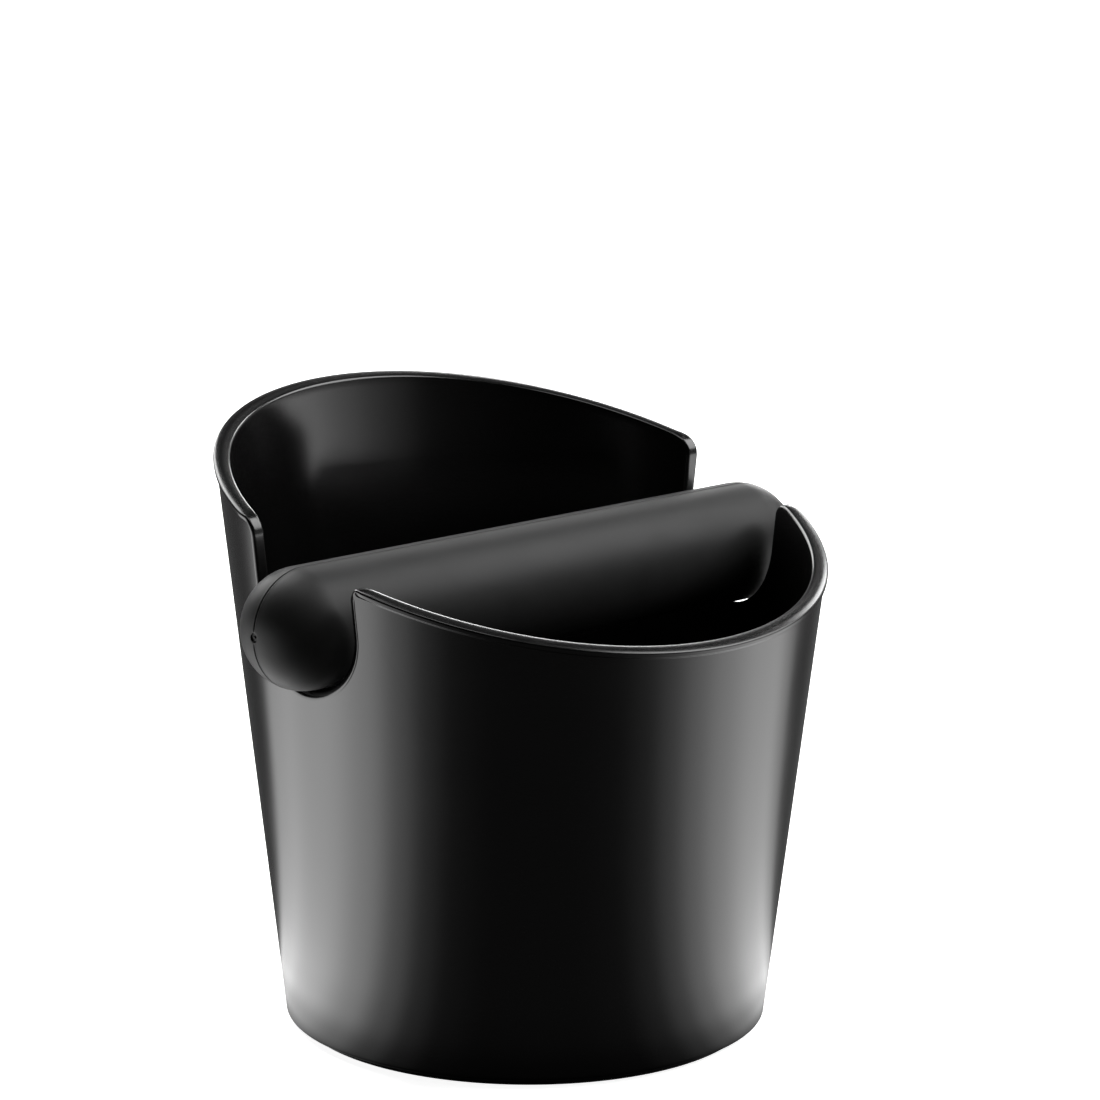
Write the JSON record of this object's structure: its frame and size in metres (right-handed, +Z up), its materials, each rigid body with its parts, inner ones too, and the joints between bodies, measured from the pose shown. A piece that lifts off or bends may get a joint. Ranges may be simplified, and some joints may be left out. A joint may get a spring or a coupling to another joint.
{
  "type": "espresso knock box",
  "caption": "Tapered countertop bucket with a slanted rim and a lift-out rubber-covered bar, for knocking spent coffee out of a portafilter.",
  "frame": {"origin": "on the bucket's axis, level with the sole of the foot ring, so that the knock box stands on the plane z = 0", "axes": "+X runs along the knock bar, -Y points to the low front of the slanted rim, +Z is up"},
  "size_m": [0.136, 0.1191, 0.1188],
  "materials": {
    "bucket_plastic": "satin-gloss black moulded ABS, smooth outside, a glossier rolled lip",
    "foot_rubber": "matte black non-slip rubber",
    "core_steel": "bright drawn steel bar",
    "sleeve_rubber": "matte charcoal-black moulded rubber with a soft sheen"
  },
  "bodies": {
    "bucket": {"bucket": "bucket_plastic", "foot_ring": "foot_rubber"},
    "knock_bar": {"knock_bar_core": "core_steel", "knock_bar_sleeve": "sleeve_rubber"}
  },
  "joints": [
    {"name": "bar_lift", "type": "slide", "parent": "bucket", "child": "knock_bar", "axis": [0, 0, 1], "range_m": [0, 0.05]}
  ]
}
